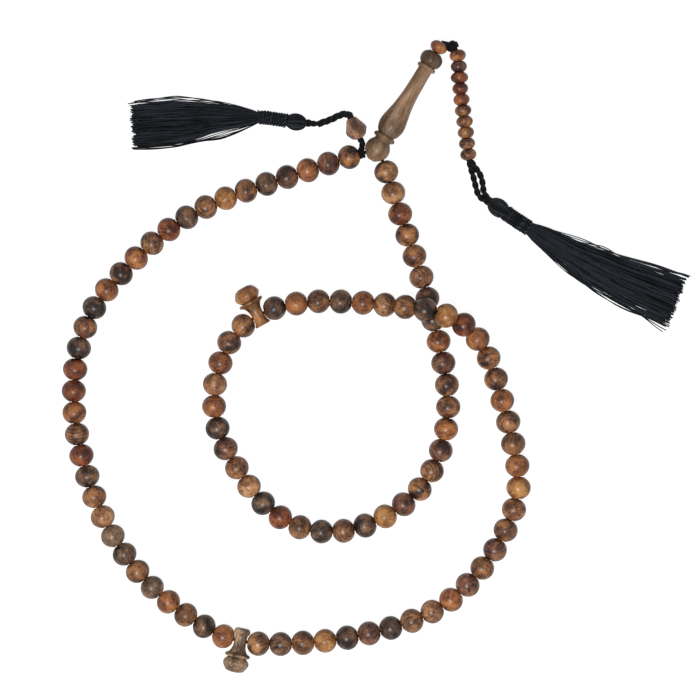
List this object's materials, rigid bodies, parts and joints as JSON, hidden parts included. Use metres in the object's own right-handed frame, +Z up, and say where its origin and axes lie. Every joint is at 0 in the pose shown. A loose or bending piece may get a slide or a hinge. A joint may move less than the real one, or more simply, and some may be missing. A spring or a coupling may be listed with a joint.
{
  "type": "misbaha prayer beads",
  "caption": "Loop of round turned wooden beads on a black cord, with divider beads, a turned alif, counter beads, a marker bead and two black tassels, for counting prayers.",
  "frame": {"origin": "middle of the laid-out string's bounding box, on the surface it lies on", "axes": "+Z up from the surface, +Y towards the alif's top, +X to the right as seen from above"},
  "size_m": [0.2134, 0.216, 0.0156],
  "materials": {
    "alif_wood": "satin",
    "black_thread": "matte",
    "brown_wood": "satin",
    "tan_wood": "satin",
    "golden_wood": "satin",
    "dark_wood": "satin",
    "red_wood": "satin",
    "marker_wood": "satin",
    "separator_1_wood": "satin",
    "separator_2_wood": "satin",
    "spacer_wood": "satin",
    "strand_1_wood": "satin",
    "strand_2_wood": "satin",
    "strand_3_wood": "satin"
  },
  "bodies": {
    "strands": {"strand_1": "strand_1_wood", "strand_2": "strand_2_wood", "strand_3": "strand_3_wood", "marker_cord": "black_thread"},
    "separator_1": {"separator_1": "separator_1_wood"},
    "separator_2": {"separator_2": "separator_2_wood"},
    "alif": {"alif": "alif_wood", "alif_cord": "black_thread"},
    "marker_bead": {"marker_bead": "marker_wood"},
    "counter_drop": {"counter_cord": "black_thread"},
    "counter_tassel": {"counter_tassel_yarn": "black_thread", "counter_tassel_binding": "black_thread"},
    "marker_tassel": {"marker_tassel_yarn": "black_thread", "marker_tassel_binding": "black_thread"},
    "bead_1_02": {"bead_1_02": "brown_wood"},
    "bead_1_05": {"bead_1_05": "brown_wood"},
    "bead_1_08": {"bead_1_08": "tan_wood"},
    "bead_1_11": {"bead_1_11": "golden_wood"},
    "bead_1_14": {"bead_1_14": "tan_wood"},
    "bead_1_17": {"bead_1_17": "brown_wood"},
    "bead_1_20": {"bead_1_20": "brown_wood"},
    "bead_1_23": {"bead_1_23": "tan_wood"},
    "bead_1_26": {"bead_1_26": "golden_wood"},
    "bead_1_29": {"bead_1_29": "tan_wood"},
    "bead_1_32": {"bead_1_32": "brown_wood"},
    "bead_2_02": {"bead_2_02": "brown_wood"},
    "bead_2_05": {"bead_2_05": "tan_wood"},
    "bead_2_08": {"bead_2_08": "golden_wood"},
    "bead_2_11": {"bead_2_11": "tan_wood"},
    "bead_2_14": {"bead_2_14": "brown_wood"},
    "bead_2_17": {"bead_2_17": "brown_wood"},
    "bead_2_20": {"bead_2_20": "tan_wood"},
    "bead_2_23": {"bead_2_23": "golden_wood"},
    "bead_2_26": {"bead_2_26": "tan_wood"},
    "bead_2_29": {"bead_2_29": "brown_wood"},
    "bead_2_32": {"bead_2_32": "brown_wood"},
    "bead_3_02": {"bead_3_02": "tan_wood"},
    "bead_3_05": {"bead_3_05": "golden_wood"},
    "bead_3_08": {"bead_3_08": "tan_wood"},
    "bead_3_11": {"bead_3_11": "brown_wood"},
    "bead_3_14": {"bead_3_14": "brown_wood"},
    "bead_3_17": {"bead_3_17": "tan_wood"},
    "bead_3_20": {"bead_3_20": "golden_wood"},
    "bead_3_23": {"bead_3_23": "tan_wood"},
    "bead_3_26": {"bead_3_26": "brown_wood"},
    "bead_3_29": {"bead_3_29": "brown_wood"},
    "bead_3_32": {"bead_3_32": "tan_wood"},
    "counter_01": {"counter_01": "golden_wood"},
    "counter_02": {"counter_02": "dark_wood"},
    "counter_03": {"counter_03": "brown_wood"},
    "counter_04": {"counter_04": "red_wood"},
    "counter_05": {"counter_05": "brown_wood"},
    "counter_06": {"counter_06": "brown_wood"},
    "counter_07": {"counter_07": "tan_wood"},
    "counter_08": {"counter_08": "red_wood"},
    "counter_09": {"counter_09": "tan_wood"},
    "counter_10": {"counter_10": "red_wood"},
    "spacer": {"spacer_bead": "spacer_wood"}
  },
  "joints": [
    {"name": "flop_separator_1", "type": "hinge", "parent": "strands", "child": "separator_1", "pos_m": [-0.0403, 0.0135, 0.00425], "axis": [0.872, 0.4894, 0.0103], "continuous": true},
    {"name": "flop_separator_2", "type": "hinge", "parent": "strands", "child": "separator_2", "pos_m": [-0.0463, -0.0976, 0.00425], "axis": [-0.9787, 0.2051, 0.0111], "continuous": true},
    {"name": "lift_alif", "type": "hinge", "parent": "strands", "child": "alif", "pos_m": [0.0005, 0.0703, 0.0046], "axis": [0.8571, -0.5151, 0], "range_deg": [0, 90]},
    {"name": "slide_marker_bead", "type": "slide", "parent": "strands", "child": "marker_bead", "axis": [0.3, -0.9539, 0], "range_m": [0, 0.002]},
    {"name": "swing_counters", "type": "hinge", "parent": "alif", "child": "counter_drop", "pos_m": [0.02648, 0.10576, 0.00295], "axis": [0, 0, 1], "range_deg": [-12, 90]},
    {"name": "swing_counter_tassel", "type": "hinge", "parent": "counter_drop", "child": "counter_tassel", "pos_m": [0.04138, 0.05056, 0.0031], "axis": [0, 0, 1], "range_deg": [-20, 80]},
    {"name": "swing_marker_tassel", "type": "hinge", "parent": "strands", "child": "marker_tassel", "pos_m": [-0.02694, 0.07952, 0.0029], "axis": [0, 0, 1], "range_deg": [-80, 12]},
    {"name": "turn_bead_1_02", "type": "hinge", "parent": "strands", "child": "bead_1_02", "pos_m": [0.00584, 0.05531, 0.004], "axis": [0.3115, -0.9503, 0.0027], "continuous": true},
    {"name": "turn_bead_1_05", "type": "hinge", "parent": "strands", "child": "bead_1_05", "pos_m": [0.0131, 0.03379, 0.004], "axis": [0.3281, -0.9446, 0], "continuous": true},
    {"name": "turn_bead_1_08", "type": "hinge", "parent": "strands", "child": "bead_1_08", "pos_m": [0.01944, 0.01199, 0.004], "axis": [0.2507, -0.9681, 0], "continuous": true},
    {"name": "turn_bead_1_11", "type": "hinge", "parent": "strands", "child": "bead_1_11", "pos_m": [0.02418, -0.0102, 0.004], "axis": [0.1304, -0.9915, 0], "continuous": true},
    {"name": "turn_bead_1_14", "type": "hinge", "parent": "strands", "child": "bead_1_14", "pos_m": [0.02207, -0.03259, 0.004], "axis": [-0.32, -0.9474, 0], "continuous": true},
    {"name": "turn_bead_1_17", "type": "hinge", "parent": "strands", "child": "bead_1_17", "pos_m": [0.00943, -0.05097, 0.004], "axis": [-0.791, -0.6118, 0], "continuous": true},
    {"name": "turn_bead_1_20", "type": "hinge", "parent": "strands", "child": "bead_1_20", "pos_m": [-0.01109, -0.06002, 0.004], "axis": [-0.9911, -0.1329, 0], "continuous": true},
    {"name": "turn_bead_1_23", "type": "hinge", "parent": "strands", "child": "bead_1_23", "pos_m": [-0.0327, -0.05541, 0.004], "axis": [-0.8304, 0.5572, 0], "continuous": true},
    {"name": "turn_bead_1_26", "type": "hinge", "parent": "strands", "child": "bead_1_26", "pos_m": [-0.04753, -0.03851, 0.004], "axis": [-0.5307, 0.8475, 0], "continuous": true},
    {"name": "turn_bead_1_29", "type": "hinge", "parent": "strands", "child": "bead_1_29", "pos_m": [-0.05529, -0.01753, 0.004], "axis": [-0.061, 0.9981, 0], "continuous": true},
    {"name": "turn_bead_1_32", "type": "hinge", "parent": "strands", "child": "bead_1_32", "pos_m": [-0.05013, 0.00423, 0.004], "axis": [0.4869, 0.8735, -0.0021], "continuous": true},
    {"name": "turn_bead_2_02", "type": "hinge", "parent": "strands", "child": "bead_2_02", "pos_m": [-0.02722, 0.01752, 0.00399], "axis": [0.9881, 0.1539, 0.002], "continuous": true},
    {"name": "turn_bead_2_05", "type": "hinge", "parent": "strands", "child": "bead_2_05", "pos_m": [-0.00444, 0.01779, 0.00406], "axis": [0.9968, -0.0713, 0.0365], "continuous": true},
    {"name": "turn_bead_2_08", "type": "hinge", "parent": "strands", "child": "bead_2_08", "pos_m": [0.01664, 0.01533, 0.01149], "axis": [0.9488, -0.1882, 0.2536], "continuous": true},
    {"name": "turn_bead_2_11", "type": "hinge", "parent": "strands", "child": "bead_2_11", "pos_m": [0.03464, 0.00542, 0.005], "axis": [0.5757, -0.7697, -0.276], "continuous": true},
    {"name": "turn_bead_2_14", "type": "hinge", "parent": "strands", "child": "bead_2_14", "pos_m": [0.04306, -0.01551, 0.004], "axis": [0.271, -0.9626, 0.002], "continuous": true},
    {"name": "turn_bead_2_17", "type": "hinge", "parent": "strands", "child": "bead_2_17", "pos_m": [0.0482, -0.03776, 0.004], "axis": [0.1561, -0.9877, 0], "continuous": true},
    {"name": "turn_bead_2_20", "type": "hinge", "parent": "strands", "child": "bead_2_20", "pos_m": [0.04419, -0.05978, 0.004], "axis": [-0.4244, -0.9055, 0], "continuous": true},
    {"name": "turn_bead_2_23", "type": "hinge", "parent": "strands", "child": "bead_2_23", "pos_m": [0.03124, -0.07846, 0.004], "axis": [-0.6946, -0.7194, 0], "continuous": true},
    {"name": "turn_bead_2_26", "type": "hinge", "parent": "strands", "child": "bead_2_26", "pos_m": [0.01223, -0.09073, 0.004], "axis": [-0.9301, -0.3674, 0], "continuous": true},
    {"name": "turn_bead_2_29", "type": "hinge", "parent": "strands", "child": "bead_2_29", "pos_m": [-0.00984, -0.0965, 0.004], "axis": [-0.986, -0.1668, 0], "continuous": true},
    {"name": "turn_bead_2_32", "type": "hinge", "parent": "strands", "child": "bead_2_32", "pos_m": [-0.03257, -0.09867, 0.004], "axis": [-0.9993, -0.0386, -0.0014], "continuous": true},
    {"name": "turn_bead_3_02", "type": "hinge", "parent": "strands", "child": "bead_3_02", "pos_m": [-0.05868, -0.09261, 0.00399], "axis": [-0.8664, 0.4994, 0.0018], "continuous": true},
    {"name": "turn_bead_3_05", "type": "hinge", "parent": "strands", "child": "bead_3_05", "pos_m": [-0.0764, -0.07933, 0.004], "axis": [-0.7128, 0.7014, 0], "continuous": true},
    {"name": "turn_bead_3_08", "type": "hinge", "parent": "strands", "child": "bead_3_08", "pos_m": [-0.08984, -0.06173, 0.004], "axis": [-0.5052, 0.863, 0], "continuous": true},
    {"name": "turn_bead_3_11", "type": "hinge", "parent": "strands", "child": "bead_3_11", "pos_m": [-0.09856, -0.04137, 0.004], "axis": [-0.2966, 0.955, 0], "continuous": true},
    {"name": "turn_bead_3_14", "type": "hinge", "parent": "strands", "child": "bead_3_14", "pos_m": [-0.10297, -0.01966, 0.004], "axis": [-0.0732, 0.9973, 0], "continuous": true},
    {"name": "turn_bead_3_17", "type": "hinge", "parent": "strands", "child": "bead_3_17", "pos_m": [-0.10144, 0.0024, 0.004], "axis": [0.2371, 0.9715, 0], "continuous": true},
    {"name": "turn_bead_3_20", "type": "hinge", "parent": "strands", "child": "bead_3_20", "pos_m": [-0.09193, 0.02222, 0.004], "axis": [0.6396, 0.7687, 0], "continuous": true},
    {"name": "turn_bead_3_23", "type": "hinge", "parent": "strands", "child": "bead_3_23", "pos_m": [-0.07645, 0.03812, 0.004], "axis": [0.7541, 0.6568, 0], "continuous": true},
    {"name": "turn_bead_3_26", "type": "hinge", "parent": "strands", "child": "bead_3_26", "pos_m": [-0.0581, 0.05047, 0.004], "axis": [0.9025, 0.4308, 0], "continuous": true},
    {"name": "turn_bead_3_29", "type": "hinge", "parent": "strands", "child": "bead_3_29", "pos_m": [-0.03735, 0.05836, 0.004], "axis": [0.9495, 0.3138, 0], "continuous": true},
    {"name": "turn_bead_3_32", "type": "hinge", "parent": "strands", "child": "bead_3_32", "pos_m": [-0.01625, 0.0653, 0.00397], "axis": [0.953, 0.3031, -0.0049], "continuous": true},
    {"name": "turn_counter_01", "type": "hinge", "parent": "counter_drop", "child": "counter_01", "pos_m": [0.02786, 0.1023, 0.00295], "axis": [0.174, -0.9847, 0], "continuous": true},
    {"name": "turn_counter_02", "type": "hinge", "parent": "counter_drop", "child": "counter_02", "pos_m": [0.02825, 0.09854, 0.00295], "axis": [0.0617, -0.9981, 0], "continuous": true},
    {"name": "turn_counter_03", "type": "hinge", "parent": "counter_drop", "child": "counter_03", "pos_m": [0.02846, 0.09477, 0.00295], "axis": [0.0578, -0.9983, 0], "continuous": true},
    {"name": "turn_counter_04", "type": "hinge", "parent": "counter_drop", "child": "counter_04", "pos_m": [0.02874, 0.091, 0.00295], "axis": [0.0922, -0.9957, 0], "continuous": true},
    {"name": "turn_counter_05", "type": "hinge", "parent": "counter_drop", "child": "counter_05", "pos_m": [0.02917, 0.08724, 0.00295], "axis": [0.1347, -0.9909, 0], "continuous": true},
    {"name": "turn_counter_06", "type": "hinge", "parent": "counter_drop", "child": "counter_06", "pos_m": [0.02971, 0.0835, 0.00295], "axis": [0.1458, -0.9893, 0], "continuous": true},
    {"name": "turn_counter_07", "type": "hinge", "parent": "counter_drop", "child": "counter_07", "pos_m": [0.03023, 0.07975, 0.00295], "axis": [0.1256, -0.9921, 0], "continuous": true},
    {"name": "turn_counter_08", "type": "hinge", "parent": "counter_drop", "child": "counter_08", "pos_m": [0.03067, 0.076, 0.00295], "axis": [0.1067, -0.9943, 0], "continuous": true},
    {"name": "turn_counter_09", "type": "hinge", "parent": "counter_drop", "child": "counter_09", "pos_m": [0.03106, 0.07224, 0.00295], "axis": [0.1037, -0.9946, 0], "continuous": true},
    {"name": "turn_counter_10", "type": "hinge", "parent": "counter_drop", "child": "counter_10", "pos_m": [0.03151, 0.06849, 0.00295], "axis": [0.1544, -0.988, 0], "continuous": true},
    {"name": "turn_spacer", "type": "hinge", "parent": "alif", "child": "spacer", "pos_m": [0.02135, 0.10499, 0.0046], "axis": [0.5151, 0.8571, 0], "continuous": true}
  ]
}
